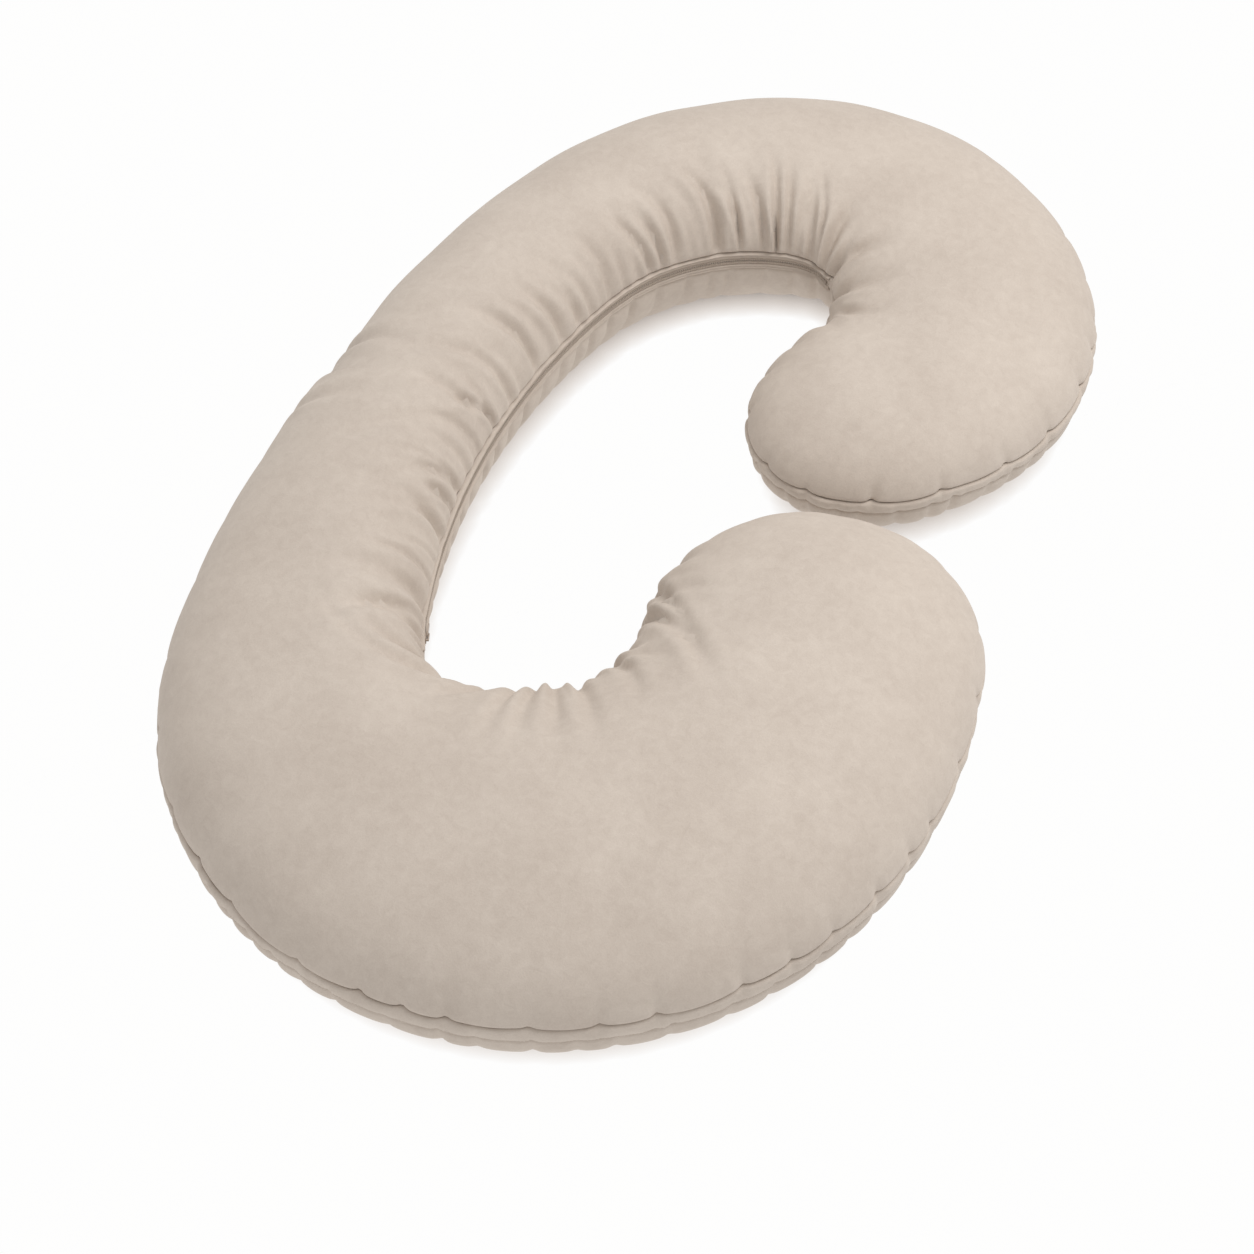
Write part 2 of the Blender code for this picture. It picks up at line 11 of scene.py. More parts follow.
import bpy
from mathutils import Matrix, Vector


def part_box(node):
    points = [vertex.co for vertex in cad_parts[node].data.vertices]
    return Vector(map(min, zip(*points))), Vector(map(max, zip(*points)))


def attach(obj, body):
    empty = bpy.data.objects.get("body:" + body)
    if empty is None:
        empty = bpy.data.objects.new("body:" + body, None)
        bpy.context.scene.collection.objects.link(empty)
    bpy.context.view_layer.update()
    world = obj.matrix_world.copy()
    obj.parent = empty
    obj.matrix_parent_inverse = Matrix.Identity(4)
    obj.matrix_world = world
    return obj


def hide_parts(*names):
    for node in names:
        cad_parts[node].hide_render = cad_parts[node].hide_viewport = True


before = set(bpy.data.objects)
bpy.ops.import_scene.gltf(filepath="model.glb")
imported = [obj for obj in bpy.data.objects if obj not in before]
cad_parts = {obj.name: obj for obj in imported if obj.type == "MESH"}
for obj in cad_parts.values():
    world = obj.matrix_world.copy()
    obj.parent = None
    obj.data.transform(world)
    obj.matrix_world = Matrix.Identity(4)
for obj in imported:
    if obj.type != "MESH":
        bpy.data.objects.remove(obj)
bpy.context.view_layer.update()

from math import cos, pi, radians, sin

import bmesh
import bpy
import numpy as np
from mathutils import Vector

MM = 0.001

# ---- the plan, as the model has it ----
SPINE_INNER_RADIUS = 0.830
SPINE_LENGTH = 0.660
FOOT_BEND_INNER_RADIUS = 0.040
FOOT_BEND_TURN = 138.1
FOOT_ARM_INNER_RADIUS = 0.176
FOOT_ARM_LENGTH = 0.3666
HEAD_BEND_INNER_RADIUS = 0.257
HEAD_BEND_TURN = 53.8
HEAD_ARM_INNER_RADIUS = 0.033
HEAD_ARM_LENGTH = 0.630
ARC_BLEND = 0.080
SPINE_HALF_WIDTH = 0.097
FOOT_HALF_WIDTH = 0.191
FOOT_TIP_HALF_WIDTH = 0.171
HEAD_HALF_WIDTH = 0.149
FOOT_WIDE_POINT = 0.587
FOOT_TIP_POINT = 0.100
HEAD_TIP_HALF_WIDTH = 0.126
HEAD_WIDE_POINT = 0.278
HEAD_TIP_POINT = 0.080
INNER_FLARE_START = 0.050
FOOT_OUTER_FLARE_START = 0.490
HEAD_OUTER_FLARE_START = 0.036
LOBE_ROUND = 0.170
TUBE_HEIGHT = 0.200
ROUNDNESS = 2.2
BASE_DROOP = 1.12
HEAD_HEIGHT = 0.153
HEAD_THIN_START = 0.180
HEAD_THIN_END = 0.200
EDGE_BAND_HEIGHT = 0.023
ZIP_HEAD_RUN = 0.450
ZIP_TAPE_END = 0.016
SLIDER_LENGTH = 0.012
STOP_LENGTH = 0.004
CLEARANCE = 0.0003
FIT_TOLERANCE = 0.004

MID_HEIGHT = TUBE_HEIGHT / 2
HALF_BAND = EDGE_BAND_HEIGHT / 2
SPINE_RADIUS = SPINE_INNER_RADIUS + SPINE_HALF_WIDTH
HALF_SPINE = SPINE_LENGTH / 2
WALL_RATE = SPINE_INNER_RADIUS / SPINE_RADIUS
SLIDER_REST = -(HALF_SPINE - ARC_BLEND / 2 - SLIDER_LENGTH)
COIL_START = SLIDER_REST - SLIDER_LENGTH / 2 / WALL_RATE
STOP_START = COIL_START - (CLEARANCE + STOP_LENGTH) / WALL_RATE
ZIP_START = STOP_START - ZIP_TAPE_END / WALL_RATE
ZIP_END = HALF_SPINE + ZIP_HEAD_RUN
COIL_END = ZIP_END - ZIP_TAPE_END - STOP_LENGTH

FOOT_ARCS = (
    (SPINE_RADIUS, HALF_SPINE),
    (FOOT_BEND_INNER_RADIUS + FOOT_HALF_WIDTH,
     (FOOT_BEND_INNER_RADIUS + FOOT_HALF_WIDTH) * radians(FOOT_BEND_TURN)),
    (FOOT_ARM_INNER_RADIUS + FOOT_HALF_WIDTH, FOOT_ARM_LENGTH),
)
HEAD_ARCS = (
    (SPINE_RADIUS, HALF_SPINE),
    (HEAD_BEND_INNER_RADIUS + SPINE_HALF_WIDTH,
     (HEAD_BEND_INNER_RADIUS + SPINE_HALF_WIDTH) * radians(HEAD_BEND_TURN)),
    (HEAD_ARM_INNER_RADIUS + HEAD_HALF_WIDTH, HEAD_ARM_LENGTH),
)

# ---- how fine the cloth grids are ----
COLUMN_STEP = 3.3 * MM          # along the outline
SEAM_RING_STEP = 0.45 * MM      # the first ring away from a seam
SEAM_RING_GROWTH = 1.28
SEAM_RINGS = 11
PANEL_RINGS = 36
BASE_RINGS = 22
BAND_RINGS = 10
CROWN_GAP = 2.5 * MM            # the innermost ring's distance from the middle line
SECTION_POINTS = 181

# ---- cloth ----
CLOTH = 1.5 * MM
GROOVE_DEPTH = 5.0 * MM         # how far the panels' edges turn in at a seam
GROOVE_WIDTH = 5.5 * MM


def smoothstep(t):
    t = np.clip(t, 0, 1)
    return t * t * (3 - 2 * t)


# ---- the plan ----

def turned(arcs, distance):
    """Angle turned after a distance along the arcs, before their joints are eased."""
    total = np.minimum(distance, 0) / arcs[0][0]
    start = 0.0
    for radius, length in arcs[:-1]:
        total = total + np.clip(distance - start, 0, length) / radius
        start += length
    return total + np.maximum(distance - start, 0) / arcs[-1][0]


def walk(arcs, side):
    """Distances, headings and points from the spine's middle along one side (-1 foot, +1 head)."""
    length = sum(arc[1] for arc in arcs)
    s = np.linspace(0, length, int(length / (2 * MM)) + 1)
    bend = (turned(arcs, s + ARC_BLEND / 2) - turned(arcs, s - ARC_BLEND / 2)) / ARC_BLEND
    angle = np.concatenate([[0], np.cumsum((bend[1:] + bend[:-1]) / 2 * s[1])])
    heading = pi / 2 - side * angle
    move = side * np.stack([np.cos(heading), np.sin(heading)], 1)
    points = np.concatenate([[[0, 0]], np.cumsum((move[1:] + move[:-1]) / 2 * s[1], axis=0)])
    return s, heading, points


FOOT_WALK, HEAD_WALK = walk(FOOT_ARCS, -1), walk(HEAD_ARCS, 1)
LINE_S, LINE_HEADING, LINE_POINTS = (
    np.concatenate([sign * foot[:0:-1], head])
    for sign, foot, head in zip((-1, 1, 1), FOOT_WALK, HEAD_WALK))
LINE_BEND = -np.gradient(LINE_HEADING, LINE_S)
FOOT_END, HEAD_END = LINE_S[0], LINE_S[-1]
FOOT_LAST, HEAD_LAST = FOOT_END + LOBE_ROUND, HEAD_END - LOBE_ROUND


def centre_line(s):
    """Points of the centre line and unit vectors across it, towards the outer wall."""
    points = np.stack([np.interp(s, LINE_S, LINE_POINTS[:, i]) for i in (0, 1)], -1) + plan_shift
    heading = np.interp(s, LINE_S, LINE_HEADING)
    return points, np.stack([-np.sin(heading), np.cos(heading)], -1)


def half_width(s, outer):
    """Distance from the centre line to the outer or the inner wall."""
    s = np.asarray(s, float)
    widths = []
    for wide, tip, flare, wide_point, tip_point, end in (
            (FOOT_HALF_WIDTH, FOOT_TIP_HALF_WIDTH, FOOT_OUTER_FLARE_START, FOOT_WIDE_POINT,
             FOOT_TIP_POINT, -FOOT_END),
            (HEAD_HALF_WIDTH, HEAD_TIP_HALF_WIDTH, HEAD_OUTER_FLARE_START, HEAD_WIDE_POINT,
             HEAD_TIP_POINT, HEAD_END)):
        widest = end - wide_point
        start = HALF_SPINE - (flare if outer else INNER_FLARE_START)
        flare_share = smoothstep((abs(s) - start) / (widest - start))
        flared = SPINE_HALF_WIDTH + (wide - SPINE_HALF_WIDTH) * flare_share
        taper = smoothstep((abs(s) - widest) / (wide_point - tip_point))
        widths.append(np.where(abs(s) > widest, wide + (tip - wide) * taper, flared))
    return np.where(s < 0, *widths)


def fullness(s):
    """Height of the tube at s, as a share of TUBE_HEIGHT."""
    start = HALF_SPINE + HEAD_THIN_START
    thinning = smoothstep((s - start) / (HEAD_END - HEAD_THIN_END - start))
    return 1 + (HEAD_HEIGHT / TUBE_HEIGHT - 1) * thinning


class Columns:
    """The outline's columns, clockwise from the foot lobe's outer wall, as arrays."""


def wall_stations(outer, step):
    """Places along one wall, a step apart where the cloth is longest between wall and crown."""
    s = np.linspace(FOOT_LAST, HEAD_LAST, 1200)
    points, across = centre_line(s)
    reach = half_width(s, outer) * (1 if outer else -1)
    runs = []
    for share in (1.0, 0.4):
        line = points + across * (reach * share)[:, None]
        runs.append(np.linalg.norm(np.diff(line, axis=0), axis=1))
    run = np.concatenate([[0], np.cumsum(np.maximum(*runs))])
    return np.interp(np.linspace(0, run[-1], int(run[-1] / step) + 1), run, s)


def outline(step):
    """Every column of the outline: its middle, way out, reach, s, side and place round a lobe."""
    parts = []
    lobe_count = int(pi * LOBE_ROUND / step)
    place = np.arange(1, lobe_count)
    for side, lobe in ((1, 1), (-1, -1)):
        s = wall_stations(side > 0, step)[::side]
        middle, across = centre_line(s)
        parts.append((middle, across * side, half_width(s, side > 0), s, s,
                      np.full(len(s), side, float), np.zeros(len(s), int)))
        end = np.full(len(place), HEAD_LAST if lobe > 0 else FOOT_LAST)
        middle, across = centre_line(end)
        along = lobe * np.stack([across[:, 1], -across[:, 0]], -1)
        sweep = pi * place[::lobe] / lobe_count
        wide = np.where(np.cos(sweep) > 0, half_width(end, True), half_width(end, False))
        spoke = across * (wide * np.cos(sweep))[:, None] + along * (LOBE_ROUND * np.sin(sweep))[:, None]
        reach = np.linalg.norm(spoke, axis=1)
        parts.append((middle, spoke / reach[:, None], reach, end + lobe * LOBE_ROUND * np.sin(sweep),
                      end, np.cos(sweep), place))
    columns = Columns()
    names = ("middle", "out", "reach", "s", "base_s", "side", "lobe_place")
    for name, arrays in zip(names, zip(*parts)):
        setattr(columns, name, np.concatenate(arrays))
    columns.rim = columns.middle + columns.out * columns.reach[:, None]
    edges = np.linalg.norm(np.roll(columns.rim, -1, axis=0) - columns.rim, axis=1)
    columns.run = np.concatenate([[0], np.cumsum(edges)[:-1]])      # distance round the rim
    columns.length = float(edges.sum())
    columns.count = len(columns.rim)
    columns.lobe_count = lobe_count
    columns.full = fullness(columns.base_s)
    return columns


plan_shift = np.zeros(2)
first = outline(10 * MM)
plan_shift = -(first.rim.min(axis=0) + first.rim.max(axis=0)) / 2
for corner, edge in zip(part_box("cover_bottom_panel"), (first.rim.min(axis=0), first.rim.max(axis=0))):
    if np.abs(np.array(corner[:2]) - edge - plan_shift).max() > FIT_TOLERANCE:
        raise ValueError("the plan's values differ from the packed model's")
columns = outline(COLUMN_STEP)


# ---- the tube's section ----

def sections(reach):
    """Section at each column, from the crown over the side to the base's middle line.

    Returns the run along the cloth, the distance out and the height, as (column, point) arrays.
    """
    angle = np.radians(np.linspace(90, -90, SECTION_POINTS))
    side = np.clip(np.cos(angle), 0, 1) ** (2 / ROUNDNESS)
    rise = np.abs(np.sin(angle)) ** (2 / ROUNDNESS)
    height = np.where(angle >= 0, MID_HEIGHT * (1 + rise),
                      np.maximum(MID_HEIGHT * (1 - BASE_DROOP * rise), 0))
    height = height * columns.full[:, None]
    out = reach[:, None] * side
    step = np.hypot(np.diff(out, axis=1), np.diff(height, axis=1))
    run = np.concatenate([np.zeros((len(reach), 1)), np.cumsum(step, axis=1)], axis=1)
    return run, out, height


def run_at_height(target):
    """Run from the crown at which each column's section comes down to a height."""
    run, _, height = section
    return np.array([np.interp(-target * full, -h, r) for h, r, full in zip(height, run, columns.full)])


def seam_steps():
    """Distances of the first rings from a seam, growing away from it."""
    return np.concatenate([[0], np.cumsum(SEAM_RING_STEP * SEAM_RING_GROWTH ** np.arange(SEAM_RINGS))])


def panel_runs(seam_run, far_run, count):
    """(ring, column) runs from a seam to the panel's middle line, close together at the seam."""
    near = seam_steps()
    sign = np.sign(far_run - seam_run)
    start = seam_run + sign * near[-1]
    share = (np.arange(1, count + 1) / count)[:, None]
    return np.concatenate([seam_run + sign * near[:, None], start + (far_run - start) * share])


class Grid:
    """A skin's (ring, column) arrays: places, the way out of the cloth, and where they lie."""

    def __init__(self, runs, seam_run):
        run, out, height = section
        flat = np.stack([np.interp(runs[:, i], run[i], out[i]) for i in range(columns.count)], 1)
        high = np.stack([np.interp(runs[:, i], run[i], height[i]) for i in range(columns.count)], 1)
        place = columns.middle[None] + columns.out[None] * flat[..., None]
        self.place = np.concatenate([place, high[..., None]], -1)
        self.from_seam = np.abs(runs - seam_run)
        self.from_middle = runs if runs[-1, 0] < runs[0, 0] else run[:, -1] - runs
        self.downward = -1 if runs[-1, 0] < runs[0, 0] else 1
        self.normal = outward(self.place, self.downward)
        share = np.clip(flat / columns.reach, 0, 1)
        self.s = columns.base_s + (columns.s - columns.base_s) * share
        self.across = columns.side * share
        self.rate = 1 + np.interp(self.s, LINE_S, LINE_BEND) * flat * columns.side
        self.run = np.broadcast_to(columns.run, runs.shape)


def outward(place, down_the_rings):
    """Unit vectors out of a grid that is closed along its columns."""
    along = np.roll(place, -1, axis=1) - np.roll(place, 1, axis=1)
    across = np.gradient(place, axis=0) * down_the_rings
    normal = np.cross(along, across)
    return normal / np.maximum(np.linalg.norm(normal, axis=-1, keepdims=True), 1e-12)


# ---- shapes of the cloth, as heights off the smooth tube ----

def nearest_round(run, place):
    """Signed distance round the rim from a place, the short way."""
    return (run - place + columns.length / 2) % columns.length - columns.length / 2


def wobble(run, wavelength, seed):
    """Smooth random values from -1 to 1 along the closed rim."""
    count = max(3, int(columns.length / wavelength))
    values = np.random.default_rng(seed).uniform(-1, 1, count)
    place = (np.asarray(run) / columns.length % 1) * count
    low = np.floor(place).astype(int)
    blend = smoothstep(place - low)
    return values[low % count] * (1 - blend) + values[(low + 1) % count] * blend


def groove(distance, width=GROOVE_WIDTH, depth=GROOVE_DEPTH):
    """Rounded turn-in of a cloth edge at its seam."""
    inside = 1 - np.clip(distance / width, 0, 1)
    return -depth * (1 - np.sqrt(np.maximum(1 - inside ** 2, 0)))


def lumps(place):
    """Slow unevenness of the stuffing."""
    x, y = place[..., 0], place[..., 1]
    waves = ((9, 23, 0.4), (-21, 14, 1.9), (31, 8, 4.0), (5, -37, 2.6), (44, 29, 0.9))
    return 0.45 * MM * sum(np.sin(a * x + b * y + c) for a, b, c in waves)


def tuck_field(run, distance, tucks, widening=0.22):
    """Pinches in the seam: each is (place round the rim, depth, how far it reaches up the cloth)."""
    total = np.zeros(np.broadcast(run, distance).shape)
    for place, depth, reach in tucks:
        off = nearest_round(run, place)
        spread = 4.5 * MM + widening * distance
        fade = np.exp(-(distance / reach) ** 1.4)
        total -= depth * fade * np.exp(-(off / spread) ** 2)
    return total


def scallop(run, tucks):
    """From 0 at each tuck to 1 midway between two."""
    places = np.sort([t[0] % columns.length for t in tucks])
    edges = np.concatenate([[places[-1] - columns.length], places, [places[0] + columns.length]])
    k = np.clip(np.searchsorted(edges, run, side="right") - 1, 0, len(edges) - 2)
    phase = (run - edges[k]) / (edges[k + 1] - edges[k])
    return (4 * phase * (1 - phase)) ** 0.75


def fold_field(grid, folds):
    """Soft folds across the tube, each from one (s, across) to another."""
    total = np.zeros(grid.s.shape)
    for s0, w0, s1, w1, depth, width, bow in folds:
        p = (grid.across - w0) / (w1 - w0)
        inside = (p > -0.15) & (p < 1.05)
        middle = s0 + (s1 - s0) * p + bow * 4 * p * (1 - p)
        off = (grid.s - middle) * grid.rate
        wide = width * MM * (0.75 + 0.7 * np.clip(p, 0, 1))
        shape = -np.exp(-(off / wide) ** 2) + 0.5 * np.exp(-((np.abs(off) - 2.1 * wide) / (1.2 * wide)) ** 2)
        strength = smoothstep((p + 0.15) / 0.2) * (1 - smoothstep((p - 0.25) / 0.8))
        total += np.where(inside, depth * MM * shape * strength, 0)
    return total


# ---- meshes ----

def merge_rings(first, second, closed):
    """Faces between two rings of (column, vertex) lists; equal columns make quads."""
    faces, i, j = [], 0, 0
    (a_col, a), (b_col, b) = first, second
    if closed:
        a_col, a = list(a_col) + [a_col[0] + closed], list(a) + [a[0]]
        b_col, b = list(b_col) + [b_col[0] + closed], list(b) + [b[0]]
    while i < len(a) - 1 or j < len(b) - 1:
        next_a = a_col[i + 1] if i < len(a) - 1 else float("inf")
        next_b = b_col[j + 1] if j < len(b) - 1 else float("inf")
        if next_a == next_b:
            faces.append((a[i], a[i + 1], b[j + 1], b[j]))
            i, j = i + 1, j + 1
        elif next_a < next_b:
            faces.append((a[i], a[i + 1], b[j]))
            i += 1
        else:
            faces.append((a[i], b[j + 1], b[j]))
            j += 1
    return [tuple(dict.fromkeys(face)) for face in faces]


def ring_columns(from_crown, spacing):
    """Columns kept in one ring: all on the walls, fewer round a lobe where they crowd together."""
    kept = []
    for i in range(columns.count):
        stride = 1
        if columns.lobe_place[i]:
            gap = abs(pi * from_crown / columns.lobe_count)
            while gap * stride < spacing and stride < 32:
                stride *= 2
        if columns.lobe_place[i] % stride == 0:
            kept.append(i)
    return kept


def skin_faces(rings, number, grid_s):
    """Faces of a panel from its seam ring in to the closing strip along its middle line."""
    faces = []
    for (first, a), (second, b) in zip(zip(rings, number), zip(rings[1:], number[1:])):
        faces += merge_rings((first, a), (second, b), columns.count)
    kept, last = rings[-1], number[-1]
    order = sorted(range(len(kept)), key=lambda k: grid_s[kept[k]])
    low, high = order[0], order[-1]
    outer, inner = [], []
    k = low
    while k != high:
        outer.append(k)
        k = (k + 1) % len(kept)
    outer.append(high)
    k = low
    while k != high:
        inner.append(k)
        k = (k - 1) % len(kept)
    inner.append(high)

    def chain(part):
        return [grid_s[kept[k]] + 1e-9 * n for n, k in enumerate(part)], [last[k] for k in part]

    closing = merge_rings(chain(outer), chain(inner), 0)
    return faces + [face for face in closing if len(face) > 2]


def add_mesh(name, verts, faces, material):
    """A smooth-shaded mesh object whose faces point out."""
    mesh = bpy.data.meshes.new(name)
    mesh.from_pydata([tuple(v) for v in verts], [], faces)
    mesh.materials.append(material)
    mesh.shade_smooth()
    obj = bpy.data.objects.new(name, mesh)
    bpy.context.scene.collection.objects.link(obj)
    mesh.calc_loop_triangles()
    tri = np.empty(len(mesh.loop_triangles) * 3, int)
    mesh.loop_triangles.foreach_get("vertices", tri)
    corner = np.asarray(verts, float)[tri.reshape(-1, 3)]
    volume = np.einsum("ij,ij->i", corner[:, 0], np.cross(corner[:, 1], corner[:, 2])).sum()
    if volume < 0:
        mesh.flip_normals()
    return obj


def add_panel(name, grid, place, normal, material):
    """One half of a cover as a closed shell: a fine outside and a plainer inside."""
    verts, faces, edges = [], [], []
    count = len(place)
    inside_rings = sorted({0, 2, 5, 8, 11, *range(14, count - 1, 5), count - 1})
    for inward, ring_list in ((False, range(count)), (True, inside_rings)):
        rings, number = [], []
        for r in ring_list:
            kept = ring_columns(float(np.median(grid.from_middle[r])), 1.1 * MM if not inward else 4 * MM)
            if inward and r:
                kept = [i for i in kept if i % 2 == 0 or columns.lobe_place[i]]
            rings.append(kept)
            number.append(list(range(len(verts), len(verts) + len(kept))))
            points = place[r, kept] - (normal[r, kept] * CLOTH if inward else 0)
            verts += list(points)
        made = skin_faces(rings, number, grid.s[-1])
        faces += [face[::-1] for face in made] if inward else made
        edges.append((rings[0], number[0]))
    faces += [face[::-1] for face in merge_rings(*edges, columns.count)]
    return add_mesh(name, verts, faces, material)


def add_strip(name, place, inside, material):
    """A strip of cloth as a closed shell, from (ring, column) grids of its outside and inside."""
    rows, cols = place.shape[:2]
    verts = np.concatenate([place.reshape(-1, 3), inside.reshape(-1, 3)])
    faces, lower = [], rows * cols

    def quad(a, b, c, d):
        faces.append((a, b, c, d))

    for r in range(rows - 1):
        for a in range(r * cols, r * cols + cols - 1):
            quad(a, a + 1, a + 1 + cols, a + cols)
            quad(a + lower, a + cols + lower, a + 1 + cols + lower, a + 1 + lower)
    for a in range(cols - 1):
        quad(a, a + lower, a + 1 + lower, a + 1)
        last = (rows - 1) * cols + a
        quad(last, last + 1, last + 1 + lower, last + lower)
    for r in range(rows - 1):
        a = r * cols
        quad(a, a + cols, a + cols + lower, a + lower)
        a += cols - 1
        quad(a, a + lower, a + cols + lower, a + cols)
    return add_mesh(name, verts, faces, material)


def add_beads(name, middles, along, out, length, radius, material, flat=0.7):
    """Short rounded bars, such as stitches or coil loops, as one object of separate bars."""
    sides, rings = 6, ((-0.5, 0.0), (-0.44, 0.62), (-0.3, 1.0), (0.3, 1.0), (0.44, 0.62), (0.5, 0.0))
    across = np.cross(along, out)
    verts, faces = [], []
    for middle, a, n, c in zip(middles, along, out, across):
        start = len(verts)
        verts.append(middle + a * length * rings[0][0])
        for share, wide in rings[1:-1]:
            for k in range(sides):
                turn = 2 * pi * k / sides
                ring = c * cos(turn) + n * sin(turn) * flat
                verts.append(middle + a * length * share + ring * radius * wide)
        verts.append(middle + a * length * rings[-1][0])
        for k in range(sides):
            m = (k + 1) % sides
            faces.append((start, start + 1 + m, start + 1 + k))
            for ring in range(3):
                low = start + 1 + ring * sides
                faces.append((low + k, low + m, low + sides + m, low + sides + k))
            low = start + 1 + 3 * sides
            faces.append((low + k, low + m, low + sides))
    return add_mesh(name, verts, faces, material)


# ---- finishes ----

def srgb(colour):
    """Linear colour from an sRGB hex value."""
    channels = [int(colour[i:i + 2], 16) / 255 for i in (0, 2, 4)]
    return (*(c / 12.92 if c <= 0.04045 else ((c + 0.055) / 1.055) ** 2.4 for c in channels), 1)


def node(tree, kind, links=(), **settings):
    """Add a node; settings name its properties or input sockets, links are (socket, source)."""
    made = tree.nodes.new(kind)
    for name, value in settings.items():
        if hasattr(made, name):
            setattr(made, name, value)
        else:
            made.inputs[name.replace("_", " ")].default_value = value
    for socket, source in links:
        tree.links.new(source, made.inputs[socket])
    return made


def finish(name, roughness, **settings):
    """A Principled material and its shader; settings name the shader's sockets."""
    material = bpy.data.materials.new(name)
    material.use_nodes = True
    shader = material.node_tree.nodes["Principled BSDF"]
    shader.inputs["Roughness"].default_value = roughness
    for key, value in settings.items():
        shader.inputs[key.replace("_", " ")].default_value = value
    return material, shader


def brushed_cotton():
    """Brushed cotton: short raised fibres that scatter light, so it is matt with a soft edge glow.

    The nap's clumps are about 1 mm, drawn at 1.6 mm so that they show at arm's length.
    """
    material, shader = finish("brushed_cotton", 0.93, Sheen_Weight=0.22, Sheen_Roughness=0.55,
                              Specular_IOR_Level=0.25)
    shader.inputs["Sheen Tint"].default_value = srgb("F4EADF")
    tree = material.node_tree
    place = node(tree, "ShaderNodeTexCoord").outputs["Object"]
    clump = node(tree, "ShaderNodeTexNoise", [("Vector", place)], Scale=1 / (1.6 * MM),
                 Detail=3.0, Roughness=0.65)
    brushed = node(tree, "ShaderNodeTexNoise", [("Vector", place)], Scale=1 / (11 * MM),
                   Detail=4.0, Roughness=0.6, Distortion=0.6)
    dyed = node(tree, "ShaderNodeTexNoise", [("Vector", place)], Scale=1 / (85 * MM), Detail=3.0)
    shade = node(tree, "ShaderNodeMath", [(0, clump.outputs["Fac"]), (1, brushed.outputs["Fac"])],
                 operation="ADD")
    shade = node(tree, "ShaderNodeMath", [(0, shade.outputs[0]), (1, dyed.outputs["Fac"])],
                 operation="ADD")
    ramp = node(tree, "ShaderNodeMapRange", [("Value", shade.outputs[0])])
    ramp.inputs["From Min"].default_value = 1.05
    ramp.inputs["From Max"].default_value = 1.95
    mix = node(tree, "ShaderNodeMix", [("Factor", ramp.outputs["Result"])], data_type="RGBA")
    mix.inputs["A"].default_value = srgb("BAADA1")
    mix.inputs["B"].default_value = srgb("CBBFB3")
    tree.links.new(mix.outputs["Result"], shader.inputs["Base Color"])
    fuzz = node(tree, "ShaderNodeBump", [("Height", clump.outputs["Fac"])],
                Strength=0.35, Distance=0.5 * MM)
    soft = node(tree, "ShaderNodeBump", [("Height", brushed.outputs["Fac"]), ("Normal", fuzz.outputs[0])],
                Strength=0.25, Distance=1.5 * MM)
    tree.links.new(soft.outputs[0], shader.inputs["Normal"])
    return material


def woven_tape():
    """Woven polyester tape: fine twill ribs, with a faint satin light on the threads."""
    material, shader = finish("woven_polyester_tape", 0.75, Sheen_Weight=0.1, Specular_IOR_Level=0.35)
    tree = material.node_tree
    place = node(tree, "ShaderNodeTexCoord").outputs["Object"]
    ribs = node(tree, "ShaderNodeTexWave", [("Vector", place)], Scale=1 / (2 * pi * 0.5 * MM) * pi,
                bands_direction="DIAGONAL", Distortion=1.5, Detail=1.0)
    mix = node(tree, "ShaderNodeMix", [("Factor", ribs.outputs["Fac"])], data_type="RGBA")
    mix.inputs["A"].default_value = srgb("B3A496")
    mix.inputs["B"].default_value = srgb("C4B6A8")
    tree.links.new(mix.outputs["Result"], shader.inputs["Base Color"])
    bump = node(tree, "ShaderNodeBump", [("Height", ribs.outputs["Fac"])], Strength=0.4, Distance=0.2 * MM)
    tree.links.new(bump.outputs[0], shader.inputs["Normal"])
    return material


def speckled(name, dark, light, grain, roughness, bump=0.2, **settings):
    """A finish whose colour and surface vary softly at one grain size."""
    material, shader = finish(name, roughness, **settings)
    tree = material.node_tree
    place = node(tree, "ShaderNodeTexCoord").outputs["Object"]
    noise = node(tree, "ShaderNodeTexNoise", [("Vector", place)], Scale=1 / grain, Detail=3.0)
    mix = node(tree, "ShaderNodeMix", [("Factor", noise.outputs["Fac"])], data_type="RGBA")
    mix.inputs["A"].default_value = srgb(dark)
    mix.inputs["B"].default_value = srgb(light)
    tree.links.new(mix.outputs["Result"], shader.inputs["Base Color"])
    raised = node(tree, "ShaderNodeBump", [("Height", noise.outputs["Fac"])], Strength=bump,
                  Distance=grain / 3)
    tree.links.new(raised.outputs[0], shader.inputs["Normal"])
    return material


COTTON = brushed_cotton()
TAPE = woven_tape()
# spun polyester thread: a slight shine on a twisted strand
THREAD = speckled("spun_polyester_thread", "B5A697", "CDBFB1", 0.7 * MM, 0.6, Sheen_Weight=0.15)
# dyed nylon monofilament: smooth and a little glossy
NYLON = speckled("nylon_monofilament", "AE9F91", "BDAE9F", 2 * MM, 0.38, 0.05)
# enamelled zinc casting: satin paint over a metal body
ZINC = speckled("enamelled_zinc", "A8988A", "B5A596", 1.5 * MM, 0.34, 0.06, Coat_Weight=0.3,
                Coat_Roughness=0.2)
# plain-woven polycotton: flat and slightly crisp
LINER = speckled("polycotton_lining", "E6E2DA", "F2EFE9", 0.8 * MM, 0.85)
# crimped polyester fibre: bright, loose and matt
FIBRE = speckled("crimped_polyester_fibre", "F0F0EC", "FBFBF9", 6 * MM, 1.0, 0.6)


# ---- the cover's shape ----

section = sections(columns.reach)
seam_top = run_at_height(MID_HEIGHT + HALF_BAND)
seam_low = run_at_height(MID_HEIGHT - HALF_BAND)
base_middle = section[0][:, -1]

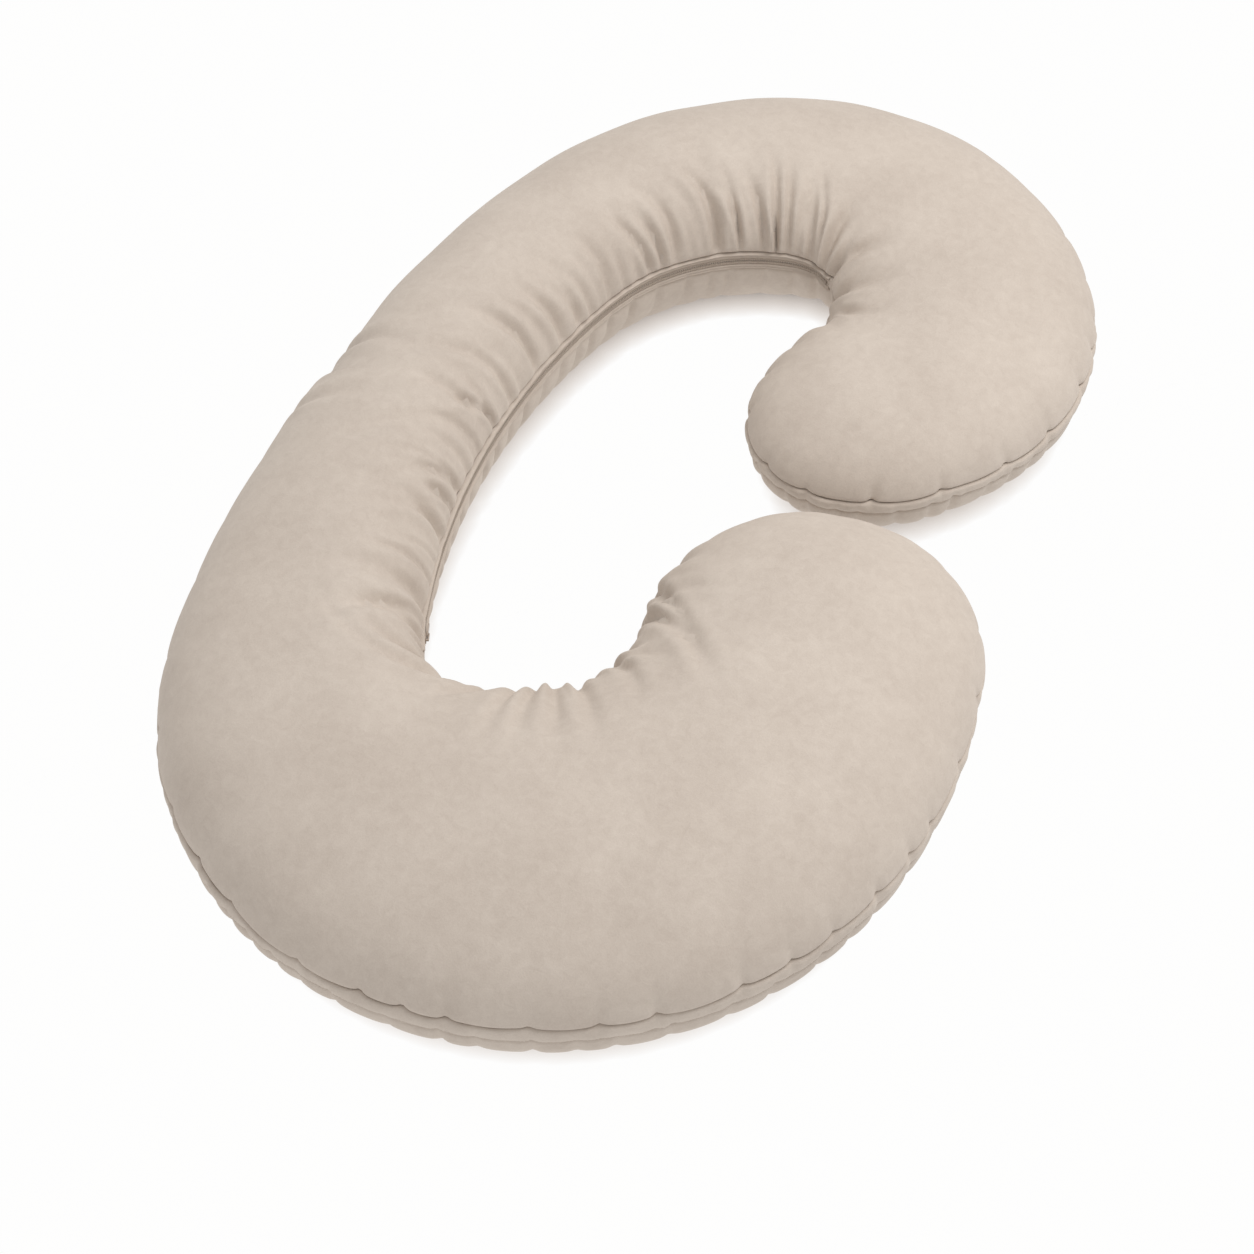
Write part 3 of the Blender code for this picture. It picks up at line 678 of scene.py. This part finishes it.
ON_ZIP = [i for i in range(columns.count) if columns.side[i] == -1 and not columns.lobe_place[i]
          and ZIP_START <= columns.s[i] <= ZIP_END]
OFF_ZIP = [*range(ON_ZIP[-1], columns.count), *range(ON_ZIP[0] + 1)]


def rim_run(s, side):
    """Distance round the rim of a place on the outer (1) or inner (-1) wall."""
    wall = np.flatnonzero((columns.side == side) & (columns.lobe_place == 0))
    wall = wall[np.argsort(columns.s[wall])]
    return float(np.interp(s, columns.s[wall], columns.run[wall]))


def tucks_between(start, end, spacing, depth, reach, seed):
    """Pinches along a stretch of rim, at uneven places and depths."""
    rng = np.random.default_rng(seed)
    places, place = [], start + spacing * rng.uniform(0.2, 0.8)
    while place < end:
        places.append((place, depth * rng.uniform(0.45, 1.3), reach * rng.uniform(0.6, 1.4)))
        place += spacing * rng.uniform(0.65, 1.4)
    return places


HEAD_ROUND = rim_run(HEAD_LAST, 1)
INNER_START = rim_run(HEAD_LAST, -1)
ZIP_HEAD, ZIP_FOOT = rim_run(ZIP_END, -1), rim_run(ZIP_START, -1)
FOOT_INNER = rim_run(FOOT_LAST, -1)
TUCKS = (
    tucks_between(0, 0.95, 0.062, 2.6 * MM, 20 * MM, 1)
    + tucks_between(0.95, HEAD_ROUND - 0.45, 0.085, 1.6 * MM, 18 * MM, 2)
    + tucks_between(HEAD_ROUND - 0.45, INNER_START, 0.060, 4.0 * MM, 34 * MM, 3)
    + tucks_between(INNER_START, ZIP_HEAD, 0.050, 3.0 * MM, 30 * MM, 4)
    + tucks_between(ZIP_HEAD, ZIP_FOOT, 0.085, 3.4 * MM, 30 * MM, 5)
    + tucks_between(ZIP_FOOT, FOOT_INNER, 0.050, 2.0 * MM, 30 * MM, 6)
    + tucks_between(FOOT_INNER, columns.length, 0.055, 3.2 * MM, 24 * MM, 7)
)
BASE_TUCKS = (
    tucks_between(0, HEAD_ROUND, 0.045, 2.6 * MM, 60 * MM, 11)
    + tucks_between(HEAD_ROUND, ZIP_HEAD, 0.034, 4.0 * MM, 80 * MM, 12)
    + tucks_between(ZIP_HEAD, FOOT_INNER, 0.030, 5.0 * MM, 75 * MM, 13)
    + tucks_between(FOOT_INNER, columns.length, 0.035, 3.0 * MM, 70 * MM, 14)
)

# Folds pressed into the top panel by the bends: each runs from its deep end, at (s, across), to
# where it fades, with its depth and half width in mm and how far it bows along the tube.
HEAD_BEND_FOLDS = (
    (0.61, -0.99, 0.60, -0.74, 4.0, 2.2, 0), (0.61, -0.97, 0.615, -0.25, 4.5, 4.0, 0),
    (0.63, -0.97, 0.635, -0.34, 4.0, 4.2, 0), (0.68, -0.99, 0.68, -0.52, 4.6, 5.0, 0),
    (0.70, -0.99, 0.71, -0.55, 4.0, 5.0, 0), (0.51, -0.98, 0.475, -0.26, 5.5, 6.0, 0.01),
    (0.59, -0.97, 0.57, -0.45, 4.2, 4.5, 0), (0.55, -0.96, 0.53, -0.58, 3.8, 4.5, 0),
    (0.44, -0.95, 0.41, -0.34, 3.4, 7.0, 0.01), (0.415, -0.98, 0.39, -0.58, 3.8, 5.5, 0),
    (0.39, -0.98, 0.36, -0.56, 3.4, 5.5, 0), (0.31, -0.98, 0.285, -0.34, 3.2, 7.5, 0.01),
    (0.51, -0.96, 0.52, 0.30, 2.2, 12, 0), (0.65, -0.98, 0.70, -0.20, 3.0, 8.5, 0),
    (0.80, -0.99, 0.86, -0.42, 4.4, 6.5, 0.02), (0.94, -0.99, 0.93, -0.46, 3.8, 7.0, 0.02),
    (1.08, -0.88, 1.00, -0.42, 3.2, 8.0, 0.02), (0.74, -0.99, 0.76, -0.50, 3.6, 5.5, 0),
)
SPINE_FOLDS = (
    (0.05, 0.95, 0.04, -0.35, 2.8, 8.5, 0.01), (0.09, -0.99, 0.03, 0.20, 3.8, 7.5, 0.01),
    (-0.04, 0.80, -0.02, -0.45, 2.4, 9.0, 0), (-0.15, -0.99, -0.16, -0.10, 3.2, 8.0, 0.01),
    (0.02, -0.85, 0.01, 0.05, 3.0, 7.0, 0), (0.045, -0.99, 0.00, -0.58, 3.4, 5.5, 0),
    (-0.07, -0.99, -0.125, -0.45, 3.2, 6.5, 0), (-0.10, -0.99, -0.12, -0.75, 3.4, 4.5, 0),
    (-0.01, -0.97, -0.11, 0.25, 2.4, 9.5, 0.01), (0.15, -0.98, 0.12, -0.10, 2.8, 8.0, 0),
    (0.21, -0.98, 0.19, -0.20, 2.6, 8.0, 0), (0.25, -0.98, 0.24, -0.40, 2.8, 6.5, 0),
)
FOOT_BEND_FOLDS = (
    (-0.255, -0.98, -0.27, 0.20, 2.8, 9.5, 0), (-0.30, -0.99, -0.345, 0.20, 3.6, 9.0, 0.01),
    (-0.45, -0.97, -0.31, 0.00, 3.8, 8.5, 0), (-0.38, -0.99, -0.33, -0.20, 3.2, 7.0, 0),
    (-0.58, -0.92, -0.61, -0.26, 2.8, 6.5, 0), (-0.63, -0.92, -0.65, -0.26, 2.8, 6.5, 0),
    (-0.71, -0.92, -0.70, -0.30, 2.8, 6.5, 0), (-0.79, -0.94, -0.75, -0.28, 2.8, 7.0, 0),
    (-0.94, -0.97, -0.84, -0.45, 3.4, 7.5, 0), (-1.07, -0.97, -0.92, -0.20, 4.0, 8.5, 0.01),
    (-1.12, -0.97, -0.97, -0.45, 3.4, 7.5, 0.01), (-0.51, -0.95, -0.48, -0.40, 2.8, 6.0, 0),
)


def small_folds(start, end, spacing, depth, length, slant, seed):
    """Puckers that run up from the inner seam, at uneven places, slanting towards the foot lobe."""
    rng = np.random.default_rng(seed)
    folds, s = [], start
    while s < end:
        reach = length * rng.uniform(0.4, 1.5)
        folds.append((s, -0.99, s - slant * reach + rng.uniform(-0.02, 0.02), reach - 0.99,
                      depth * rng.uniform(0.3, 1.4), rng.uniform(3.0, 8.5), 0))
        s += spacing * rng.uniform(0.6, 1.5)
    return folds


TOP_FOLDS = [
    *HEAD_BEND_FOLDS, *SPINE_FOLDS, *FOOT_BEND_FOLDS,
    *small_folds(-0.28, 0.33, 0.031, 1.9, 0.80, 0.05, 31),
    *small_folds(0.34, 0.80, 0.024, 2.0, 0.50, 0.03, 32),
    *small_folds(0.80, 1.15, 0.034, 1.8, 0.40, 0, 33),
    *small_folds(-1.20, -0.30, 0.042, 1.6, 0.35, 0, 34),
]


PANEL_BULGE = 2.2 * MM          # swell of the top panel between two tucks
BASE_BULGE = 2.8 * MM
SEAM_SAG = 2.4 * MM             # of the upper seam between two tucks
SEAM_WAVER = 0.8 * MM
ZIP_HOLD = 40 * MM              # stretch over which the zip takes hold of the seams
ZIP_SLACK = 0.16                # share of the puckers left along the zip
SEAM_EASE = 16 * MM             # above and below the zip, where the puckers are whole again
FOLD_DEPTH = 1.45               # factor on the depths of the top panel's folds
FOLD_START = 9 * MM             # from the seam, where a fold has its whole depth
FLOOR_GAP = 0.2 * MM

# ---- the zip ----
UPPER_FOLD, LOWER_FOLD = 0.28, 0.72        # the facings' free edges, as shares of the band's width
FACING_LIFT = 0.6 * MM                     # of a facing's outside over its tape
FACING_GAP = 0.1 * MM                      # between a facing's smooth inside and its tape
TAPE_THICKNESS = 0.7 * MM
HALF_TAPE_GAP = 0.035                      # from the band's middle, as a share of its width
COIL_LIFT = 1.2 * MM
COIL_MIDDLE = 1.9 * MM                     # from the band's middle to the middle of a coil's loops
LOOP_SPACING = 2.6 * MM                    # coarser than a real coil's, so that the loops show
LOOP_LENGTH = 2.2 * MM
LOOP_RADIUS = 0.8 * MM


def slack(run):
    """Share of the puckers that a seam keeps: the zip's stiff tape holds it nearly smooth."""
    along_zip = smoothstep((run - ZIP_HEAD) / ZIP_HOLD) * smoothstep((ZIP_FOOT - run) / ZIP_HOLD)
    return 1 - (1 - ZIP_SLACK) * along_zip


def ease(run, distance):
    """Share of the puckers at a distance from the seam: all of them once clear of the zip."""
    return slack(run) + (1 - slack(run)) * smoothstep(distance / SEAM_EASE)


def edge_lift(run, tucks, bulge):
    """Lift of a panel's edge, which the strip between the panels shares."""
    return slack(run) * (tuck_field(run, 0 * run, tucks) + bulge * scallop(run, tucks))


def seam_drop(run, tucks):
    """How far the upper seam sags between its tucks."""
    return (SEAM_WAVER * wobble(run, 0.03, 21) - SEAM_SAG * scallop(run, tucks)) * slack(run)


def shaped(grid, lift, drop):
    """Move a grid's places off the smooth tube, and return them with their new normals."""
    place = grid.place + grid.normal * lift[..., None]
    place[..., 2] += drop
    place[..., 2] = np.maximum(place[..., 2], FLOOR_GAP)
    return place, outward(place, grid.downward)


def top_panel():
    grid = Grid(panel_runs(seam_top, np.full(columns.count, CROWN_GAP), PANEL_RINGS), seam_top)
    d = grid.from_seam
    puckers = tuck_field(grid.run, d, TUCKS) + PANEL_BULGE * scallop(grid.run, TUCKS) * np.exp(-d / (32 * MM))
    folds = FOLD_DEPTH * fold_field(grid, TOP_FOLDS) * smoothstep(d / FOLD_START)
    lift = lumps(grid.place) + groove(d) + puckers * ease(grid.run, d) + folds
    return (grid, *shaped(grid, lift, seam_drop(grid.run, TUCKS) * np.exp(-d / (26 * MM))))


def base_panel():
    grid = Grid(panel_runs(seam_low, base_middle - CROWN_GAP, BASE_RINGS), seam_low)
    d = grid.from_seam
    swell = BASE_BULGE * scallop(grid.run, BASE_TUCKS) * smoothstep(d / (20 * MM)) * np.exp(-d / (60 * MM))
    lift = tuck_field(grid.run, d, BASE_TUCKS, 0.03) * ease(grid.run, d) + groove(d, depth=4 * MM) + swell
    return (grid, *shaped(grid, lift, 0 * d))


def band_strip(shares, extra=0.0, zip_band=False):
    """Grid of the strip between the two panels; shares run from the upper to the lower seam."""
    shares = np.asarray(shares)[:, None]
    width = seam_low - seam_top
    grid = Grid(seam_top + width * shares, seam_top)
    d_top, d_low = width * shares, width * (1 - shares)
    upper = edge_lift(grid.run, TUCKS, PANEL_BULGE)
    lower = edge_lift(grid.run, BASE_TUCKS, 0)
    from_top, from_low, seams = 1 - shares, shares, ((3.2 * MM,), (3 * MM, 4 * MM))
    if zip_band:                     # the coils between the facings run true, for the slider
        from_top, from_low = np.maximum(1 - 2 * shares, 0), np.maximum(2 * shares - 1, 0)
        seams = ((2.0 * MM, 4 * MM), (1.8 * MM, 3.5 * MM))
    lift = upper * from_top + lower * from_low + groove(d_top, *seams[0]) + groove(d_low, *seams[1])
    if not zip_band:
        lift = lift + 1.3 * MM * np.sin(pi * shares) + 0.7 * MM * wobble(grid.run + 6 * MM * shares, 0.011, 5)
    drop = seam_drop(grid.run, TUCKS) * from_top
    return (grid, *shaped(grid, lift + extra, drop))


def line_along(place, normal, spacing, skip=0.0):
    """Evenly spaced middles, tangents and normals along one row of a strip."""
    step = np.linalg.norm(np.diff(place, axis=0), axis=1)
    run = np.concatenate([[0], np.cumsum(step)])
    at = np.arange(skip, run[-1] - skip, spacing)

    def sample(values):
        return np.stack([np.interp(at, run, values[:, i]) for i in range(3)], 1)

    along = sample(np.gradient(place, axis=0))
    along /= np.linalg.norm(along, axis=1, keepdims=True)
    out = sample(normal)
    out -= along * (out * along).sum(1, keepdims=True)
    return sample(place), along, out / np.linalg.norm(out, axis=1, keepdims=True)


def settled(obj, slot, *nodes, cut=None, sewn=(), body="pillow"):
    """Give a piece its body and hide the model's pieces it stands for.

    The slot, cut and sewn arguments are not used.
    """
    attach(obj, body)
    if nodes:
        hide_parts(*nodes)
    return obj


def make_cover():
    top = top_panel()
    settled(add_panel("cover_top", *top, COTTON), "cover", "cover_top_panel", cut=(0.98, 1.52, 0.93))
    base = base_panel()
    settled(add_panel("cover_base", *base, COTTON), "cover", "cover_bottom_panel", cut=(0.98, 1.52, 0.95))
    shares = (1 - np.cos(pi * np.arange(BAND_RINGS + 1) / BAND_RINGS)) / 2
    _, place, normal = band_strip(shares)
    inside = place - normal * CLOTH
    band = add_strip("edge_band", place[:, OFF_ZIP], inside[:, OFF_ZIP], COTTON)
    _, place, normal = band_strip([0.86, 0.88])
    along = line_along(place[0, OFF_ZIP], normal[0, OFF_ZIP], 3.4 * MM)
    stitches = add_beads("edge_band_stitches", *along, 2.6 * MM, 0.38 * MM, THREAD)
    settled(stitches, "cover")
    settled(band, "cover", "cover_edge_band", cut=(0.027, 4.80, 0.129), sewn=[stitches])


def zip_row(share):
    """Places of the stitches along the zip at one share of its width, as line_along gives them."""
    _, place, normal = band_strip([share, share + 0.01], zip_shape(np.array([share]))[:, None], True)
    return line_along(place[0, ON_ZIP], normal[0, ON_ZIP], 3.0 * MM)


def zip_shape(shares):
    """Lift of the facings over the band: a rounded fold at each free edge, a piped edge at each seam."""
    away = np.where(shares < 0.5, UPPER_FOLD - shares, shares - LOWER_FOLD) * EDGE_BAND_HEIGHT
    fold = 0.7 * MM * (1 - np.exp(-np.maximum(away, 0) / (0.7 * MM)))
    from_edge = np.minimum(shares, 1 - shares) * EDGE_BAND_HEIGHT
    piping = 0.9 * MM * np.exp(-((from_edge - 1.6 * MM) / (0.7 * MM)) ** 2)
    ridges = 0.4 * MM * np.cos(2 * pi * (from_edge - 1.6 * MM) / (1.7 * MM)) * (from_edge > 1.6 * MM)
    return FACING_LIFT + fold + piping + ridges


def make_zip():
    """The zip: two tapes with their coil loops, under folded facings stitched along them."""
    for side, fold, seam, cut in (("upper", UPPER_FOLD, 0, (0.0122, 0.835, 0.0101)),
                                  ("lower", LOWER_FOLD, 1, (0.0120, 0.837, 0.0100))):
        shares = np.linspace(seam, fold, 26)
        _, place, _ = band_strip(shares, zip_shape(shares)[:, None], True)
        _, inside, _ = band_strip(shares, FACING_GAP, True)
        facing = add_strip(f"zip_{side}_facing_cloth", place[:, ON_ZIP], inside[:, ON_ZIP], COTTON)
        stitches = add_beads(f"zip_{side}_stitches", *zip_row(fold + (seam - fold) * 0.24), 2.3 * MM,
                             0.34 * MM, THREAD)
        settled(stitches, "cover")
        settled(facing, "cover", f"zip_{side}_facing", cut=cut, sewn=[stitches])
        way = 1 if seam else -1
        shares = np.linspace(0.5 + way * HALF_TAPE_GAP, seam - way * 0.02, 8)
        _, place, normal = band_strip(shares, 0, True)
        inside = place - normal * TAPE_THICKNESS
        tape = add_strip(f"zip_{side}_tape_cloth", place[:, ON_ZIP], inside[:, ON_ZIP], TAPE)
        settled(tape, "zip_tape", f"zip_{side}_tape", cut=(0.0105, 0.838, 0.0087))
        share = 0.5 + way * COIL_MIDDLE / EDGE_BAND_HEIGHT
        _, place, normal = band_strip([share, share + 0.01], COIL_LIFT, True)
        coil = [i for i in ON_ZIP if COIL_START <= columns.s[i] <= COIL_END]
        middles, along, out = line_along(place[0, coil], normal[0, coil], LOOP_SPACING, 1.0 * MM)
        loops = add_beads(f"zip_{side}_coil_loops", middles, np.cross(out, along), out, LOOP_LENGTH,
                          LOOP_RADIUS, NYLON, 0.58)
        settled(loops, "zip_coil", f"zip_{side}_coil")


def make_stuffing():
    """Liner halves and filling, drawn in from the cover so that its folds stay clear of them."""
    for name, node_name, inset, keep, material, slot, cut in (
            ("liner_top", "liner_top_panel", 12 * MM, 1, LINER, "liner", (0.90, 1.44, 0.78)),
            ("liner_base", "liner_bottom_panel", 12 * MM, -1, LINER, "liner", (0.90, 1.44, 0.85)),
            ("filling_fibre", "fibre_filling", 14.5 * MM, 0, FIBRE, "filling", None)):
        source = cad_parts["fibre_filling"].data
        bm = bmesh.new()
        bm.from_mesh(source)
        bmesh.ops.remove_doubles(bm, verts=bm.verts, dist=0.01 * MM)
        bm.normal_update()
        for vert, normal in [(v, v.normal.copy()) for v in bm.verts]:
            vert.co -= normal * inset
        if keep:
            wrong = [f for f in bm.faces if (f.calc_center_median().z - MID_HEIGHT) * keep < 0]
            bmesh.ops.delete(bm, geom=wrong, context="FACES")
            bmesh.ops.solidify(bm, geom=bm.faces[:], thickness=1 * MM)
        mesh = bpy.data.meshes.new(name)
        bm.to_mesh(mesh)
        bm.free()
        mesh.materials.clear()
        mesh.materials.append(material)
        mesh.shade_smooth()
        obj = bpy.data.objects.new(name, mesh)
        bpy.context.scene.collection.objects.link(obj)
        settled(obj, slot, node_name, cut=cut)


def carry_over():
    """The model's own metal pieces keep their shape and get their enamel."""
    for name in ("zip_slider", "zip_pull_tab", "zip_upper_top_stop", "zip_lower_top_stop", "zip_bottom_stop"):
        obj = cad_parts[name]
        obj.data.materials.clear()
        obj.data.materials.append(ZINC)


# ---- camera, floor and light ----

CAMERA_AZIMUTH = 20.28
CAMERA_ELEVATION = 50.16
CAMERA_DISTANCE = 2.830
CAMERA_TARGET = (0.006, -0.0893, 0.0)
CAMERA_LENS = 76.15


def make_camera():
    azimuth, elevation = radians(CAMERA_AZIMUTH), radians(CAMERA_ELEVATION)
    back = Vector((sin(azimuth) * cos(elevation), -cos(azimuth) * cos(elevation), sin(elevation)))
    camera = bpy.data.objects.new("camera", bpy.data.cameras.new("camera"))
    camera.data.lens = CAMERA_LENS
    camera.data.sensor_width = 36
    camera.location = Vector(CAMERA_TARGET) + back * CAMERA_DISTANCE
    camera.rotation_euler = (-back).to_track_quat("-Z", "Y").to_euler()
    bpy.context.scene.collection.objects.link(camera)
    bpy.context.scene.camera = camera


def add_light(name, location, size, power):
    """A round soft lamp that faces the middle of the floor."""
    lamp = bpy.data.lights.new(name, "AREA")
    lamp.shape = "DISK"
    lamp.size = size
    lamp.energy = power
    obj = bpy.data.objects.new(name, lamp)
    obj.location = location
    obj.rotation_euler = (-Vector(location)).to_track_quat("-Z", "Y").to_euler()
    bpy.context.scene.collection.objects.link(obj)


# The floor glows evenly and has no shading of its own: the pillow's contact shadow is painted into that glow,
# darker and warmer where an ambient occlusion node finds the pillow close.
CONTACT_REACH = 0.027           # how far the pillow's contact shadow spreads
CONTACT_FADE = 0.38             # under 1 lightens the shadow away from the contact
FLOOR_LIGHT = 0.99
SHADOW_TINT = (1.0, 0.88, 0.79, 1)
FLOOR_TINT = (1.0, 0.998, 0.995, 1)


def make_studio():
    """A white table that glows evenly, with a contact shadow painted into its glow close to what stands on
    it, and soft light from above.
    """
    floor_material, shader = finish("white_floor", 1.0, Specular_IOR_Level=0.0)
    shader.inputs["Base Color"].default_value = (0, 0, 0, 1)
    tree = floor_material.node_tree
    # ambient occlusion is the mask of the painted contact shadow: it sets the shadow's colour and dims the
    # glow
    near = node(tree, "ShaderNodeAmbientOcclusion", Distance=CONTACT_REACH, samples=12)
    painted_shadow_colour = node(tree, "ShaderNodeMix", [("Factor", near.outputs["AO"])], data_type="RGBA")
    painted_shadow_colour.inputs["A"].default_value = SHADOW_TINT
    painted_shadow_colour.inputs["B"].default_value = FLOOR_TINT
    tree.links.new(painted_shadow_colour.outputs["Result"], shader.inputs["Emission Color"])
    glow_with_painted_shadow = node(tree, "ShaderNodeMath", [(0, near.outputs["AO"])], operation="POWER")
    glow_with_painted_shadow.inputs[1].default_value = CONTACT_FADE
    glow_with_painted_shadow = node(tree, "ShaderNodeMath", [(0, glow_with_painted_shadow.outputs[0])], operation="MULTIPLY")
    glow_with_painted_shadow.inputs[1].default_value = FLOOR_LIGHT
    tree.links.new(glow_with_painted_shadow.outputs[0], shader.inputs["Emission Strength"])
    mesh = bpy.data.meshes.new("studio_floor")
    size = 12.0
    mesh.from_pydata([(-size, -size, 0), (size, -size, 0), (size, size, 0), (-size, size, 0)], [],
                     [(0, 1, 2, 3)])
    mesh.materials.append(floor_material)
    floor = bpy.data.objects.new("studio_floor", mesh)
    bpy.context.scene.collection.objects.link(floor)
    world = bpy.data.worlds.new("studio")
    world.use_nodes = True
    world.node_tree.nodes["Background"].inputs["Color"].default_value = (1.0, 1.0, 1.0, 1)
    world.node_tree.nodes["Background"].inputs["Strength"].default_value = 0.68
    bpy.context.scene.world = world
    add_light("overhead", (0.9, 0.5, 2.4), 1.7, 37)
    bpy.context.scene.view_settings.view_transform = "Standard"


make_camera()
make_studio()
make_cover()
make_zip()
make_stuffing()
carry_over()
